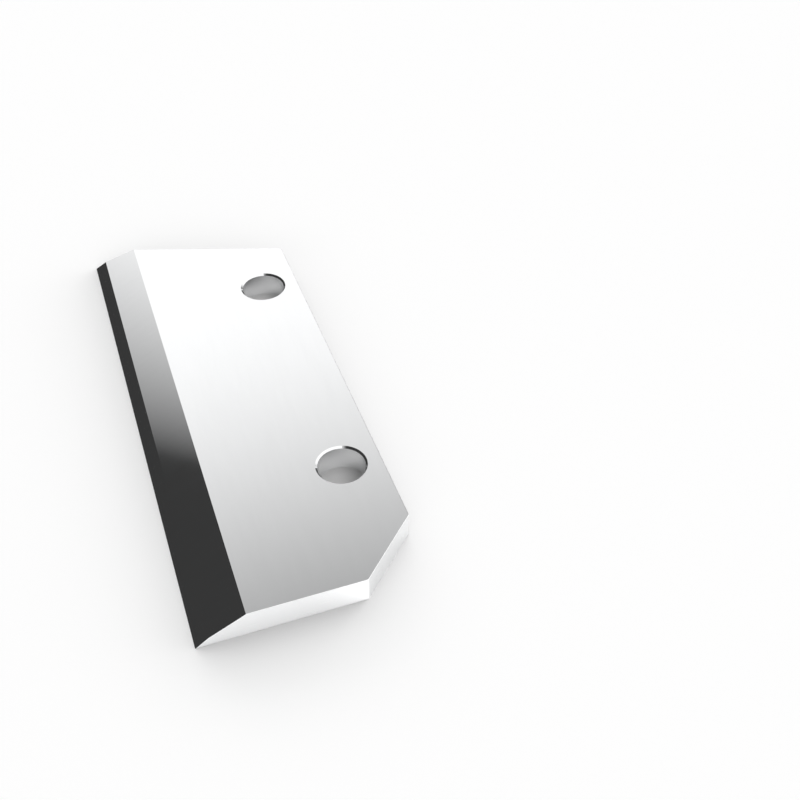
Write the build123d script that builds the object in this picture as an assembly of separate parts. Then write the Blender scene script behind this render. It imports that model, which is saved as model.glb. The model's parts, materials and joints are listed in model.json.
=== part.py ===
from build123d import *
import math
import os

# Blade of a disc wood chipper, cut and ground from one flat bar of tool steel. Millimetres and degrees.
# +Y runs along the cutting edge, from the end with the clipped corner to the slanted end.
# -X points to the cutting edge and +Z out of the bevelled face.
# The origin lies on the flat seating face, midway between the two bolt holes.

# Plate
blade_length = 210.2  # along the cutting edge
blade_width = 77.6  # from the cutting edge to the back edge
blade_thickness = 10.0
far_end_drop = 26.0  # how much earlier the slanted end reaches the back edge
corner_clip = 21.3  # each leg of the 45 degree cut at the near back corner
corner_radius = 1.0  # upright corners of the outline
edge_radius = 0.2  # broken edges round both faces

# Bevels, both measured from the flat seating face
edge_bevel_angle = 38.0  # the narrow bevel that forms the cutting edge
edge_bevel_height = 3.5  # how far up the side that narrow bevel reaches
main_bevel_angle = 27.5  # the wide bevel above it

# Bolt holes
hole_diameter = 17.0
hole_chamfer = 0.7  # on the bevelled face only
hole_from_back_edge = 14.3
near_hole_from_end = 50.7
far_hole_from_corner = 24.5  # along the back edge, from the corner at the slanted end

# Room for the cuts: stock in front of the cutting edge, and how far each cutter runs past the steel
grind_stock = 6.0
overrun = 5.0

# Places that follow from the sizes, counted from the cutting edge's near corner
back_corner_y = blade_length - far_end_drop
stock_far_y = blade_length + grind_stock * far_end_drop / blade_width
hole_x = blade_width - hole_from_back_edge
far_hole_y = back_corner_y - far_hole_from_corner
origin_y = (near_hole_from_end + far_hole_y) / 2


def outline():
    """The bar's outline seen from above. Its corners are rounded where the bevels leave them."""
    corners = [
        (-grind_stock, 0),
        (blade_width - corner_clip, 0),
        (blade_width, corner_clip),
        (blade_width, back_corner_y),
        (-grind_stock, stock_far_y),
    ]
    face = make_face(Polyline(*corners, close=True))
    rounded = [v for v in face.vertices() if v.X > 0]
    return fillet(rounded, corner_radius)


def plate():
    """The flat bar with the edges of both faces broken."""
    bar = extrude(outline(), blade_thickness)
    layers = bar.edges().group_by(Axis.Z)
    return fillet(layers[0] + layers[-1], edge_radius)


def bevel_cutter():
    """What the grinding takes off: all that lies in front of the two bevels."""
    break_x = edge_bevel_height / math.tan(math.radians(edge_bevel_angle))
    rise = blade_thickness - edge_bevel_height
    slope = math.tan(math.radians(main_bevel_angle))
    outside_x = -grind_stock - overrun
    profile = [
        (-overrun / math.tan(math.radians(edge_bevel_angle)), -overrun),
        (break_x, edge_bevel_height),
        (break_x + (rise + overrun) / slope, blade_thickness + overrun),
        (outside_x, blade_thickness + overrun),
        (outside_x, -overrun),
    ]
    side = Plane.XZ.offset(overrun) * make_face(Polyline(*profile, close=True))
    return extrude(side, stock_far_y + 2 * overrun, dir=(0, 1, 0))


def bolt_hole(y):
    """One straight hole, opened by a chamfer at the bevelled face."""
    radius = hole_diameter / 2
    drill = Cylinder(radius, blade_thickness + 2 * overrun, align=(Align.CENTER, Align.CENTER, Align.CENTER))
    wide = radius + hole_chamfer
    sink = Cone(radius, wide, hole_chamfer, align=(Align.CENTER, Align.CENTER, Align.MAX))
    return Pos(hole_x, y, blade_thickness / 2) * drill + Pos(hole_x, y, blade_thickness) * sink


def blade():
    """The finished blade, moved so that the origin lies between the holes."""
    steel = plate() - bevel_cutter() - bolt_hole(near_hole_from_end) - bolt_hole(far_hole_y)
    return Pos(-hole_x, -origin_y, 0) * steel


os.makedirs("parts", exist_ok=True)
export_step(blade(), "parts/blade.step")
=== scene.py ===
import json
import math

import bpy
from bpy.props import FloatProperty, FloatVectorProperty, PointerProperty
from bpy.types import Operator, Panel, PropertyGroup
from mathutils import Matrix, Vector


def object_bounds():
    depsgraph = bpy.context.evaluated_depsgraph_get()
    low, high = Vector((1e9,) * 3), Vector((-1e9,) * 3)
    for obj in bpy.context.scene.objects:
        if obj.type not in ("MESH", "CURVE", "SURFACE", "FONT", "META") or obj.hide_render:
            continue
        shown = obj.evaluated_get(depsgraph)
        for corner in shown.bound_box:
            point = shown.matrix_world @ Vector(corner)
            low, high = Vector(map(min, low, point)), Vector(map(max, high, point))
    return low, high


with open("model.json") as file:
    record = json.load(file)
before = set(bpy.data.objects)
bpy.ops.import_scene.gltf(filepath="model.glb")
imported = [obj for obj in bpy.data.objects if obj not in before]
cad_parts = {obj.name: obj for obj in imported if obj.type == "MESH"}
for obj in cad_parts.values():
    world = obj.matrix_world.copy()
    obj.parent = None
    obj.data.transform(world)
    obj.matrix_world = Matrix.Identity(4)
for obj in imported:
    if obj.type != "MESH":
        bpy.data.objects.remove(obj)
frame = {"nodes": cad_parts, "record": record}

bl_info = {
    "name": "Wood chipper blade",
    "version": (1, 0, 0),
    "blender": (4, 5, 0),
    "location": "3D View > Sidebar > Chipper blade",
    "description": "Finishes the packed chipper blade in ground steel and sets up its studio",
    "category": "Object",
}

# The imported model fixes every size. +Y runs along the cutting edge, from the clipped end to the slanted end,
# -X points to the cutting edge and +Z out of the bevelled face.
CAD_BOX = [list(corner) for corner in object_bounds()]
BOLT_HOLES = [mount for mount in frame["record"]["mounts"] if mount["kind"] == "bore"]
MM = 0.001
WHITE = (1.0, 1.0, 1.0, 1.0)

# A span of two numbers is one soft side: where it starts and where it ends. A span of four is a stretch with
# two soft sides: where it begins, is full, starts to fade and is gone.


# Small helpers for node trees


def add_node(tree, kind, **settings):
    """A new node with the given settings."""
    node = tree.nodes.new(kind)
    for name, value in settings.items():
        setattr(node, name, value)
    return node


def plug(tree, socket, value):
    """Puts a plain value on a socket, or links another node's output to it."""
    if isinstance(value, bpy.types.NodeSocket):
        tree.links.new(value, socket)
    else:
        socket.default_value = value


def calc(tree, operation, *values, clamp=False):
    """The output of a Math node."""
    node = add_node(tree, "ShaderNodeMath", operation=operation, use_clamp=clamp)
    for socket, value in zip(node.inputs, values):
        plug(tree, socket, value)
    return node.outputs[0]


def product(tree, first, *others):
    """The first amount times each of the others."""
    for other in others:
        first = calc(tree, "MULTIPLY", first, other)
    return first


def vector_calc(tree, operation, *values, output="Vector"):
    """The output of a Vector Math node."""
    node = add_node(tree, "ShaderNodeVectorMath", operation=operation)
    for socket, value in zip(node.inputs, values):
        plug(tree, socket, value)
    return node.outputs[output]


def split(tree, vector):
    """The three outputs of a Separate XYZ node."""
    node = add_node(tree, "ShaderNodeSeparateXYZ")
    plug(tree, node.inputs[0], vector)
    return node.outputs


def ramp(tree, value, start, end, low=0.0, high=1.0, curve="SMOOTHSTEP"):
    """Goes from low to high while the value goes from start to end, and stays there outside."""
    node = add_node(tree, "ShaderNodeMapRange", interpolation_type=curve)
    for name, number in (("From Min", start), ("From Max", end), ("To Min", low), ("To Max", high)):
        node.inputs[name].default_value = number
    plug(tree, node.inputs["Value"], value)
    return node.outputs["Result"]


def fall(tree, value, start, end):
    """One up to start, and fading to nothing at end."""
    return ramp(tree, value, start, end, 1.0, 0.0)


def window(tree, value, rise_start, rise_end, fall_start, fall_end):
    """One between rise_end and fall_start, and fading to nothing on both sides."""
    return product(tree, ramp(tree, value, rise_start, rise_end), fall(tree, value, fall_start, fall_end))


# The Mix node's sockets for each kind of value: its two inputs and its output
MIX_SOCKETS = {"FLOAT": (2, 3, 0), "VECTOR": (4, 5, 1)}


def mix(tree, kind, under, over, amount):
    """The output of a Mix node, which goes from under to over as the amount goes from nothing to one."""
    node = add_node(tree, "ShaderNodeMix", data_type=kind)
    first, second, result = MIX_SOCKETS[kind]
    plug(tree, node.inputs["Factor"], amount)
    plug(tree, node.inputs[first], under)
    plug(tree, node.inputs[second], over)
    return node.outputs[result]


def blend(tree, under, over, amount):
    """A number between under and over."""
    return mix(tree, "FLOAT", under, over, amount)


def mix_vectors(tree, under, over, amount):
    """A vector or colour between under and over."""
    return mix(tree, "VECTOR", under, over, amount)


def ray_kinds(tree):
    """Whether a ray comes straight from the camera or through glass, and whether it comes off gloss."""
    path = add_node(tree, "ShaderNodeLightPath").outputs
    straight = calc(tree, "ADD", path["Is Camera Ray"], path["Is Transmission Ray"], clamp=True)
    return straight, path["Is Glossy Ray"]


# The bolt holes' zone fades out over this span, counted from a hole's wall, just outside its chamfer.
HOLE_ZONE_RIM = (1.0 * MM, 1.2 * MM)


def hole_zone(tree, place):
    """One in the bolt holes, out to the rims of their chamfers, and nothing elsewhere."""
    level_place = vector_calc(tree, "MULTIPLY", place, (1.0, 1.0, 0.0))
    zone = 0.0
    for hole in BOLT_HOLES:
        x, y, _ = hole["pos_m"]
        radius = hole["dims"]["r_mm"] * MM
        distance = vector_calc(tree, "DISTANCE", level_place, (x, y, 0.0), output="Value")
        inside = fall(tree, distance, *(radius + rim for rim in HOLE_ZONE_RIM))
        zone = calc(tree, "MAXIMUM", zone, inside)
    return zone


# The studio


class StudioSettings(PropertyGroup):
    """Camera, lights and floor."""

    camera_place: FloatVectorProperty(
        name="Camera place",
        description="Where the camera stands",
        default=(-69.67 * MM, -310.42 * MM, 284.5 * MM),
        subtype="TRANSLATION",
        unit="LENGTH",
    )
    camera_pitch: FloatProperty(
        name="Camera pitch",
        description="How far the camera looks down from level",
        default=math.radians(42.702),
        subtype="ANGLE",
    )
    camera_heading: FloatProperty(
        name="Camera heading",
        description="How far the camera is turned from +Y towards +X",
        default=math.radians(19.628),
        subtype="ANGLE",
    )
    camera_lens: FloatProperty(
        name="Camera lens",
        description="Focal length in millimetres on a 36 mm sensor",
        default=49.297,
        subtype="DISTANCE_CAMERA",
    )
    front_light: FloatProperty(
        name="Front light",
        description="Brightness of the soft box beyond the slanted end",
        default=1.2,
        min=0.0,
    )
    front_foot: FloatProperty(
        name="Front foot",
        description="Brightness of the right half of the front soft box near the floor",
        default=0.6,
        min=0.0,
    )
    wall_foot: FloatProperty(
        name="Wall foot",
        description="Brightness of the walls near the floor",
        default=0.3,
        min=0.0,
    )
    wall_top: FloatProperty(
        name="Wall top",
        description="Brightness of the walls below the ceiling",
        default=0.85,
        min=0.0,
    )
    back_light: FloatProperty(
        name="Back light",
        description="Brightness of the soft box behind the camera",
        default=1.22,
        min=0.0,
    )
    side_wall: FloatProperty(
        name="Side wall",
        description="Brightness of the dark wall on the right, which draws the line of the back edge",
        default=0.05,
        min=0.0,
    )
    ceiling_light: FloatProperty(
        name="Ceiling light",
        description="Brightness of the near end of the soft box overhead",
        default=1.3,
        min=0.0,
    )
    ceiling_light_end: FloatProperty(
        name="Ceiling light end",
        description="Brightness of the far end of the soft box overhead",
        default=0.4,
        min=0.0,
    )
    ceiling: FloatProperty(
        name="Ceiling",
        description="Brightness of the room above the wall lights",
        default=0.35,
        min=0.0,
    )
    flag: FloatProperty(
        name="Black flag",
        description="Brightness of the black cloth that stands beside the cutting edge",
        default=0.043,
        min=0.0,
    )
    room_light: FloatProperty(
        name="Room light",
        description="Even light that the floor gets from all round",
        default=0.82,
        min=0.0,
    )
    top_light: FloatProperty(
        name="Top light",
        description="Light that the floor gets from straight above",
        default=0.51,
        min=0.0,
    )
    side_light: FloatProperty(
        name="Side light",
        description="How much more of the floor's light comes from the right than from the left",
        default=1.0,
        min=0.0,
        max=1.0,
    )
    low_light: FloatProperty(
        name="Low light",
        description="Low light from the front and the right, which gives the blade its soft shadow",
        default=3.95,
        min=0.0,
    )
    rear_light: FloatProperty(
        name="Rear light",
        description="Low light from behind the camera, which shades the floor beyond the slanted end",
        default=2.15,
        min=0.0,
    )
    floor_colour: FloatVectorProperty(
        name="Floor colour",
        description="Colour of the floor",
        default=(0.9, 0.9, 0.9),
        subtype="COLOR",
        size=3,
        min=0.0,
        max=1.0,
    )
    floor_lift: FloatProperty(
        name="Floor lift",
        description="Glow that the camera sees on the floor, which makes it white",
        default=0.1,
        min=0.0,
    )
    floor_shine: FloatProperty(
        name="Floor shine",
        description="Glow that the steel sees on the floor",
        default=0.09,
        min=0.0,
    )
    # Painted light: a glow on the painted lit patch of the floor in the holes, which the holes' walls mirror.
    painted_hole_glow: FloatProperty(
        name="Hole shine",
        description="Glow that the holes' walls see on the lit part of the floor in the holes",
        default=0.32,
        min=0.0,
    )
    # Painted light: a dimmer glow on the rest of the floor in the holes, which the holes' walls mirror.
    painted_hole_dim_glow: FloatProperty(
        name="Hole shade",
        description="Glow that the holes' walls see on the rest of the floor in the holes",
        default=0.12,
        min=0.0,
    )
    # Painted light: a glow that brightens the painted lit patch of the floor in the holes for the camera.
    painted_hole_lift: FloatProperty(
        name="Hole lift",
        description="Glow that the camera sees on the lit part of the floor in the holes",
        default=0.05,
        min=0.0,
    )
    # Painted light: a glow on the floor before the near end that only the steel sees, standing in for a white
    # card.
    painted_card_glow: FloatProperty(
        name="Card shine",
        description="Glow that the steel sees on the white card before the near end",
        default=0.34,
        min=0.0,
    )
    # Painted highlight: the painted card glow grows brighter towards its right end.
    painted_card_glow_rise: FloatProperty(
        name="Lamp shine",
        description="How much more the card glows towards its right end",
        default=0.25,
        min=0.0,
    )
    floor_size: FloatProperty(
        name="Floor size",
        description="Side of the square floor",
        default=8.0,
        unit="LENGTH",
    )


# Directions in the studio are azimuths from +Y, positive towards +X, and heights above the horizon, both in
# degrees. First come the walls, the ceiling and the box overhead.
WALL_FADE = (6.0, 30.0)
SIDE_WALL_SPAN = (21.0, 29.0, 49.0, 56.0)
CEILING_FADE = (36.0, 60.0)
CEILING_DROP = 3.3  # how much lower the ceiling starts on the right
CEILING_DROP_SPAN = (5.0, 30.0)
OVERHEAD_FADE = (55.0, 75.0)
OVERHEAD_RUN = (-0.3, 0.3)  # the part of the direction that lies along Y, from the bright to the dim end

# The front box is as wide as the white that the bevelled face mirrors.
FRONT_BOX_SPAN = (-60.0, -50.0, 18.0, 36.0)
FRONT_FOOT_SIDE = (-24.0, -10.0)
FRONT_FOOT_TOP = (8.0, 33.0)

# The back box's azimuths are counted from one behind the camera. Its sill rises from the box's right end to
# about there.
BACK_BOX_AZIMUTH = 165.0
BACK_BOX_SPAN = (-116.0, -88.0, 34.0, 40.0)
BACK_BOX_TOP = (58.0, 72.0)
BACK_SILL_SPAN = (-100.0, -10.0)
BACK_SILL_HEIGHTS = (-8.0, 28.0)
BACK_SILL_FADE = (0.0, 14.0)

# The black flag's end towards the front box is a nearly straight fade, and its hem comes down towards it.
FLAG_END = (-37.8, -24.6)
FLAG_END_POWER = 0.87
FLAG_START = (-160.0, -136.0)
FLAG_TOP = (60.0, 74.0)
FLAG_HEM_SPAN = (-95.0, -70.0)
FLAG_HEM_HEIGHTS = (28.0, 6.0)
FLAG_HEM_FADE = (0.0, 5.0)
LOW_FLAG_SPAN = (-85.0, -70.0, -25.0, -12.0)
LOW_FLAG_TOP = (11.0, 16.0)
HORIZON = (-1.0, 0.0)

# The floor's own lights
TOP_LIGHT_FADE = (50.0, 65.0)
LOW_LIGHT_HEIGHTS = (6.0, 12.0, 20.0, 28.0)
LOW_LIGHT_SPAN = (-30.0, -10.0, 100.0, 130.0)
LOW_LIGHT_SIDE = 0.5  # how much more of the low light comes from the right
REAR_LIGHT_AZIMUTH = 190.0
REAR_LIGHT_SPAN = (-60.0, -40.0, 40.0, 60.0)


def from_azimuth(tree, azimuth, centre):
    """The azimuth counted from a centre, between -180 and 180."""
    return calc(tree, "WRAP", calc(tree, "SUBTRACT", azimuth, centre), 180.0, -180.0)


def front_box(tree, studio, azimuth, height):
    """The light of the front box, which is dimmer at the foot of its right half."""
    foot = product(tree, ramp(tree, azimuth, *FRONT_FOOT_SIDE), fall(tree, height, *FRONT_FOOT_TOP))
    return blend(tree, studio.front_light, studio.front_foot, foot)


def back_box_zone(tree, azimuth, height):
    """Where the box behind the camera is: one inside it, and nothing outside."""
    across = from_azimuth(tree, azimuth, BACK_BOX_AZIMUTH)
    sill = ramp(tree, across, *BACK_SILL_SPAN, *BACK_SILL_HEIGHTS, curve="LINEAR")
    above_sill = ramp(tree, calc(tree, "SUBTRACT", height, sill), *BACK_SILL_FADE)
    return product(tree, window(tree, across, *BACK_BOX_SPAN), above_sill, fall(tree, height, *BACK_BOX_TOP))


def flag_zone(tree, azimuth, height):
    """Where the black flag hangs beside the cutting edge, with a low band at its foot."""
    fade = calc(tree, "POWER", ramp(tree, azimuth, *FLAG_END, curve="LINEAR"), FLAG_END_POWER)
    hem = ramp(tree, azimuth, *FLAG_HEM_SPAN, *FLAG_HEM_HEIGHTS)
    beside = product(
        tree,
        calc(tree, "SUBTRACT", 1.0, fade),
        ramp(tree, azimuth, *FLAG_START),
        fall(tree, height, *FLAG_TOP),
        ramp(tree, calc(tree, "SUBTRACT", height, hem), *FLAG_HEM_FADE),
    )
    low_band = product(tree, window(tree, azimuth, *LOW_FLAG_SPAN), fall(tree, height, *LOW_FLAG_TOP))
    return product(tree, calc(tree, "MAXIMUM", beside, low_band), ramp(tree, height, *HORIZON))


def mirrored_studio(tree, studio, azimuth, height, along):
    """What the steel mirrors: grey walls, soft boxes, a dark wall and a black flag, all with soft sides."""
    light = ramp(tree, height, *WALL_FADE, studio.wall_foot, studio.wall_top)

    # The dark wall follows on the right of the front box.
    box = front_box(tree, studio, azimuth, height)
    light = blend(tree, light, box, window(tree, azimuth, *FRONT_BOX_SPAN))
    light = blend(tree, light, studio.side_wall, window(tree, azimuth, *SIDE_WALL_SPAN))

    # Above the wall lights the room gets darker, and the box behind the camera is lit.
    drop = ramp(tree, azimuth, *CEILING_DROP_SPAN, 0.0, CEILING_DROP, curve="LINEAR")
    light = blend(tree, light, studio.ceiling, ramp(tree, calc(tree, "ADD", height, drop), *CEILING_FADE))
    light = blend(tree, light, studio.back_light, back_box_zone(tree, azimuth, height))

    # The overhead box is bright over the near end and dim over the slanted end.
    overhead = ramp(tree, along, *OVERHEAD_RUN, studio.ceiling_light, studio.ceiling_light_end)
    light = blend(tree, light, overhead, ramp(tree, height, *OVERHEAD_FADE))
    return blend(tree, light, studio.flag, flag_zone(tree, azimuth, height))


def floor_light(tree, studio, azimuth, height):
    """What lights the floor: a room brighter on the right, dim above, and low lights that make the shadow."""
    light = blend(tree, studio.room_light, studio.top_light, ramp(tree, height, *TOP_LIGHT_FADE))
    to_right = calc(tree, "SINE", calc(tree, "RADIANS", azimuth))
    light = product(tree, light, calc(tree, "MULTIPLY_ADD", to_right, studio.side_light, 1.0))
    band = window(tree, height, *LOW_LIGHT_HEIGHTS)
    low = product(tree, calc(tree, "MULTIPLY_ADD", to_right, LOW_LIGHT_SIDE, 1.0), studio.low_light)
    light = blend(tree, light, low, product(tree, window(tree, azimuth, *LOW_LIGHT_SPAN), band))
    rear = window(tree, from_azimuth(tree, azimuth, REAR_LIGHT_AZIMUTH), *REAR_LIGHT_SPAN)
    return blend(tree, light, studio.rear_light, product(tree, rear, band))


def make_world(studio):
    """Studio light for the steel and the floor, while the camera sees plain white behind the floor."""
    world = bpy.data.worlds.new("studio")
    world.use_nodes = True
    tree = world.node_tree
    tree.nodes.clear()
    straight, glossy = ray_kinds(tree)
    x, y, z = split(tree, add_node(tree, "ShaderNodeTexCoord").outputs["Generated"])
    azimuth = calc(tree, "DEGREES", calc(tree, "ARCTAN2", x, y))
    height = calc(tree, "DEGREES", calc(tree, "ARCSINE", z))
    light = floor_light(tree, studio, azimuth, height)
    light = blend(tree, light, mirrored_studio(tree, studio, azimuth, height, y), glossy)
    shader = add_node(tree, "ShaderNodeBackground")
    shader.inputs["Color"].default_value = WHITE
    plug(tree, shader.inputs["Strength"], blend(tree, light, 1.0, straight))
    plug(tree, add_node(tree, "ShaderNodeOutputWorld").inputs["Surface"], shader.outputs[0])
    bpy.context.scene.world = world


# The floor lies a little below the seating face. Places of the painted light in the holes are counted from a
# hole's centre, and those of the painted glow's right end before the near end, which glows more, from the line
# through both holes.
FLOOR_GAP = 0.02 * MM
PAINTED_HOLE_LIGHT_ALONG = (-3.0 * MM, 5.0 * MM)
PAINTED_HOLE_LIGHT_ACROSS = (-6.0 * MM, 0.0, 1.0 * MM, 8.0 * MM)
PAINTED_CARD_GLOW_RUN = (-27.0 * MM, 2.0 * MM)
PAINTED_CARD_EDGE_FADE = 1.0 * MM


def painted_hole_light_mask(tree, x, y):
    """Mask of the painted pool of light on the floor in each bolt hole: one at its far side, and fading to its
    other sides.
    """
    near, far = sorted(hole["pos_m"][1] for hole in BOLT_HOLES)
    half = (far - near) / 2
    forward = calc(tree, "WRAP", calc(tree, "SUBTRACT", y, near), half, -half)
    return product(tree, ramp(tree, forward, *PAINTED_HOLE_LIGHT_ALONG), window(tree, x, *PAINTED_HOLE_LIGHT_ACROSS))


def floor_glow_with_painted_light(tree, studio):
    """A little glow that makes the floor white for the camera, another that only the steel sees, and painted
    light: glowing patches in the holes and before the near end.
    """
    straight, glossy = ray_kinds(tree)
    place = add_node(tree, "ShaderNodeTexCoord").outputs["Object"]
    x, y, _ = split(tree, place)
    hole = hole_zone(tree, place)
    # Painted light in the holes: a brighter patch of glow on the floor at each hole's far side.
    lit = painted_hole_light_mask(tree, x, y)
    lift = calc(tree, "MULTIPLY_ADD", product(tree, lit, hole), studio.painted_hole_lift, studio.floor_lift)
    shine = blend(tree, studio.floor_shine, blend(tree, studio.painted_hole_dim_glow, studio.painted_hole_glow, lit), hole)

    # Painted light: a glowing patch of floor before the near end, which the steel mirrors like a white card
    # and which glows more towards its right end.
    card = ramp(tree, x, *PAINTED_CARD_GLOW_RUN, studio.painted_card_glow, studio.painted_card_glow + studio.painted_card_glow_rise)
    card_edge = CAD_BOX[0][1]
    before_end = fall(tree, y, card_edge - PAINTED_CARD_EDGE_FADE, card_edge + PAINTED_CARD_EDGE_FADE)
    shine = blend(tree, shine, card, before_end)
    return calc(tree, "MULTIPLY_ADD", glossy, shine, product(tree, straight, lift))


def floor_material(studio):
    """Pale matt floor that keeps the blade's shadow and looks white to the camera."""
    material = bpy.data.materials.new("studio_floor")
    material.use_nodes = True
    tree = material.node_tree
    shader = tree.nodes["Principled BSDF"]
    shader.inputs["Base Color"].default_value = (*studio.floor_colour, 1.0)
    shader.inputs["Roughness"].default_value = 1.0
    shader.inputs["Specular IOR Level"].default_value = 0.0
    shader.inputs["Emission Color"].default_value = WHITE
    plug(tree, shader.inputs["Emission Strength"], floor_glow_with_painted_light(tree, studio))
    return material


def make_floor(studio):
    """One big square under the blade."""
    half = studio.floor_size / 2
    height = CAD_BOX[0][2] - FLOOR_GAP
    corners = [(-half, -half, height), (half, -half, height), (half, half, height), (-half, half, height)]
    mesh = bpy.data.meshes.new("studio_floor")
    mesh.from_pydata(corners, [], [(0, 1, 2, 3)])
    mesh.materials.append(floor_material(studio))
    floor = bpy.data.objects.new("studio_floor", mesh)
    bpy.context.scene.collection.objects.link(floor)


SENSOR_WIDTH = 36.0  # millimetres
CAMERA_CLIP = (0.01, 50.0)  # metres


def make_camera(studio):
    """The photograph's camera."""
    lens = bpy.data.cameras.new("camera")
    lens.lens = studio.camera_lens
    lens.sensor_width = SENSOR_WIDTH
    lens.clip_start, lens.clip_end = CAMERA_CLIP
    camera = bpy.data.objects.new("camera", lens)
    camera.location = studio.camera_place
    camera.rotation_euler = (math.pi / 2 - studio.camera_pitch, 0.0, -studio.camera_heading)
    bpy.context.scene.collection.objects.link(camera)
    bpy.context.scene.camera = camera


class CHIPPERBLADE_OT_studio(Operator):
    """Makes the camera, the studio around the blade and the floor"""

    bl_idname = "chipperblade.studio"
    bl_label = "Set up the studio"

    def execute(self, context):
        studio = context.scene.chipperblade_studio
        make_camera(studio)
        make_world(studio)
        make_floor(studio)
        context.scene.view_settings.view_transform = "Standard"
        context.scene.cycles.caustics_reflective = False
        return {"FINISHED"}


# The blade


class SteelSettings(PropertyGroup):
    """Colour and finish of the steel."""

    ground_colour: FloatVectorProperty(
        name="Ground colour",
        description="Colour of the ground and polished faces",
        default=(0.855, 0.86, 0.865),
        subtype="COLOR",
        size=3,
        min=0.0,
        max=1.0,
    )
    milled_colour: FloatVectorProperty(
        name="Milled colour",
        description="Colour of the milled sides",
        default=(0.94, 0.945, 0.95),
        subtype="COLOR",
        size=3,
        min=0.0,
        max=1.0,
    )
    drilled_colour: FloatVectorProperty(
        name="Drilled colour",
        description="Colour of the holes' walls",
        default=(0.84, 0.845, 0.85),
        subtype="COLOR",
        size=3,
        min=0.0,
        max=1.0,
    )
    ground_roughness: FloatProperty(
        name="Ground roughness",
        description="Roughness of the ground and polished faces, and of the holes' chamfers",
        default=0.06,
        min=0.0,
        max=1.0,
        subtype="FACTOR",
    )
    milled_roughness: FloatProperty(
        name="Milled roughness",
        description="Roughness of the milled sides",
        default=0.3,
        min=0.0,
        max=1.0,
        subtype="FACTOR",
    )
    drilled_roughness: FloatProperty(
        name="Drilled roughness",
        description="Roughness of the holes' walls",
        default=0.22,
        min=0.0,
        max=1.0,
        subtype="FACTOR",
    )
    grinding_mark: FloatProperty(
        name="Grinding mark",
        description="Width of one grinding mark",
        default=0.35 * MM,
        unit="LENGTH",
    )
    milling_mark: FloatProperty(
        name="Milling mark",
        description="Width of one milling or turning mark",
        default=0.25 * MM,
        unit="LENGTH",
    )
    mark_length: FloatProperty(
        name="Mark length",
        description="Length over which a mark fades",
        default=18.0 * MM,
        unit="LENGTH",
    )
    ground_depth: FloatProperty(
        name="Ground depth",
        description="Depth of the grinding marks",
        default=0.00012 * MM,
        unit="LENGTH",
        precision=6,
    )
    milled_depth: FloatProperty(
        name="Milled depth",
        description="Depth of the milling and turning marks",
        default=0.004 * MM,
        unit="LENGTH",
        precision=6,
    )


# How the faces are told apart, by the parts of their direction that lie along X, Y and Z
FLAT_UP = (0.93, 0.99)
BEVEL_UP = (0.72, 0.76, 0.91, 0.93)
BEVEL_ACROSS = (-0.45, -0.4)
BEVEL_ALONG = (0.1, 0.2)
HOLE_WALL_UP = (0.1, 0.3)
CHAMFER_UP = (0.5, 0.6, 0.8, 0.9)

# Fine marks, and broad streaks that are some marks wide and change the tone and the gloss a little
MARK_DETAIL = 2.0
MARK_SEED = 1.0
STREAK_MARKS = 8.0
STREAK_SEED = 4.0
STREAK_RANGE = (0.3, 0.7)
STREAK_TONE = (0.985, 1.0)
STREAK_GLOSS = (0.9, 1.1)


def steel_zones(tree, place, normal):
    """How much of each point is a flat ground face, a bevel, a hole's wall and a hole's chamfer.

    What is none of them is milled.
    """
    across, along, up = split(tree, normal)
    flat = ramp(tree, calc(tree, "ABSOLUTE", up), *FLAT_UP)
    bevel = window(tree, up, *BEVEL_UP)
    bevel = product(tree, bevel, fall(tree, across, *BEVEL_ACROSS), fall(tree, along, *BEVEL_ALONG))
    hole = hole_zone(tree, place)
    wall = product(tree, hole, fall(tree, up, *HOLE_WALL_UP))
    chamfer = product(tree, hole, window(tree, up, *CHAMFER_UP))
    return flat, bevel, wall, chamfer


def steel_marks(tree, steel, place, flat, bevel, mark_width, seed):
    """Fine lines: along the flat faces, across the bevels, and level on the sides and in the holes."""
    fine = 1.0 / mark_width
    long = 1.0 / steel.mark_length
    stretch = mix_vectors(tree, (long, long, 1.0 / steel.milling_mark), (fine, long, long), flat)
    stretch = mix_vectors(tree, stretch, (long, fine, long), bevel)
    noise = add_node(tree, "ShaderNodeTexNoise", noise_dimensions="4D")
    noise.inputs["Scale"].default_value = 1.0
    noise.inputs["W"].default_value = seed
    noise.inputs["Detail"].default_value = MARK_DETAIL
    plug(tree, noise.inputs["Vector"], vector_calc(tree, "MULTIPLY", place, stretch))
    return noise.outputs["Fac"]


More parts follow.
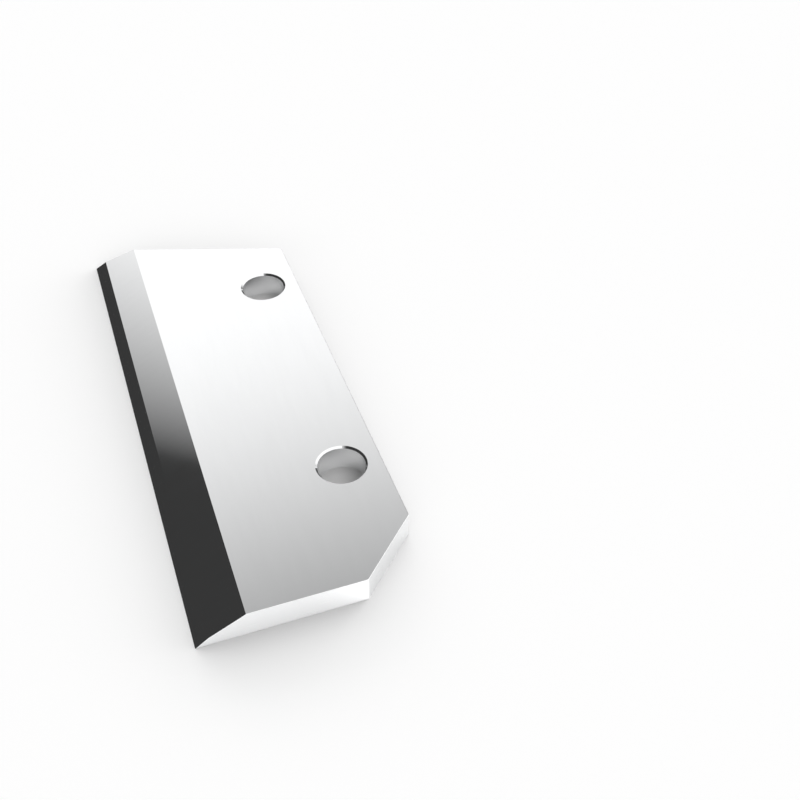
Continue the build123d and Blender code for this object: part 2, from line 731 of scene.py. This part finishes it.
def steel_material(steel):
    """Tool steel, ground and polished on its faces and bevels, milled on its sides, drilled in its holes."""
    material = bpy.data.materials.new("ground_steel")
    material.use_nodes = True
    tree = material.node_tree
    shader = tree.nodes["Principled BSDF"]
    shader.inputs["Metallic"].default_value = 1.0
    where = add_node(tree, "ShaderNodeTexCoord").outputs
    place = where["Object"]
    flat, bevel, wall, chamfer = steel_zones(tree, place, where["Normal"])
    ground = calc(tree, "ADD", calc(tree, "ADD", flat, bevel), chamfer, clamp=True)
    streaks = steel_marks(tree, steel, place, flat, bevel, STREAK_MARKS * steel.grinding_mark, STREAK_SEED)
    marks = steel_marks(tree, steel, place, flat, bevel, steel.grinding_mark, MARK_SEED)

    tone = ramp(tree, streaks, *STREAK_RANGE, *STREAK_TONE, curve="LINEAR")
    colour = mix_vectors(tree, tuple(steel.milled_colour), tuple(steel.drilled_colour), wall)
    colour = mix_vectors(tree, colour, tuple(steel.ground_colour), ground)
    plug(tree, shader.inputs["Base Color"], vector_calc(tree, "MULTIPLY", colour, tone))

    gloss = ramp(tree, streaks, *STREAK_RANGE, *STREAK_GLOSS, curve="LINEAR")
    roughness = blend(tree, steel.milled_roughness, steel.drilled_roughness, wall)
    roughness = blend(tree, roughness, steel.ground_roughness, ground)
    plug(tree, shader.inputs["Roughness"], product(tree, roughness, gloss))

    bump = add_node(tree, "ShaderNodeBump")
    bump.inputs["Strength"].default_value = 1.0
    bump.inputs["Distance"].default_value = 1.0
    depth = blend(tree, steel.milled_depth, steel.ground_depth, ground)
    plug(tree, bump.inputs["Height"], product(tree, marks, depth))
    plug(tree, shader.inputs["Normal"], bump.outputs["Normal"])
    return material


class CHIPPERBLADE_OT_blade(Operator):
    """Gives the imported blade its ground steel"""

    bl_idname = "chipperblade.blade"
    bl_label = "Finish the blade"

    def execute(self, context):
        blade = frame["nodes"]["blade"]
        blade.material_slots[0].material = steel_material(context.scene.chipperblade_steel)
        return {"FINISHED"}


class CHIPPERBLADE_PT_sidebar(Panel):
    """Lists the steps and their settings"""

    bl_idname = "CHIPPERBLADE_PT_sidebar"
    bl_label = "Wood chipper blade"
    bl_space_type = "VIEW_3D"
    bl_region_type = "UI"
    bl_category = "Chipper blade"

    def draw(self, context):
        steps = (
            (CHIPPERBLADE_OT_blade, context.scene.chipperblade_steel),
            (CHIPPERBLADE_OT_studio, context.scene.chipperblade_studio),
        )
        for step, settings in steps:
            box = self.layout.box()
            box.operator(step.bl_idname)
            for name in settings.bl_rna.properties.keys():
                if name not in ("rna_type", "name"):
                    box.prop(settings, name)


CLASSES = (
    StudioSettings,
    SteelSettings,
    CHIPPERBLADE_OT_blade,
    CHIPPERBLADE_OT_studio,
    CHIPPERBLADE_PT_sidebar,
)


def register():
    """Adds the classes, and the settings to the scene."""
    for cls in CLASSES:
        bpy.utils.register_class(cls)
    bpy.types.Scene.chipperblade_studio = PointerProperty(type=StudioSettings)
    bpy.types.Scene.chipperblade_steel = PointerProperty(type=SteelSettings)


def unregister():
    """Takes away what register added."""
    del bpy.types.Scene.chipperblade_steel
    del bpy.types.Scene.chipperblade_studio
    for cls in reversed(CLASSES):
        bpy.utils.unregister_class(cls)


def main():
    """Makes everything."""
    register()
    bpy.ops.chipperblade.blade()
    bpy.ops.chipperblade.studio()


if __name__ == "__main__":
    main()
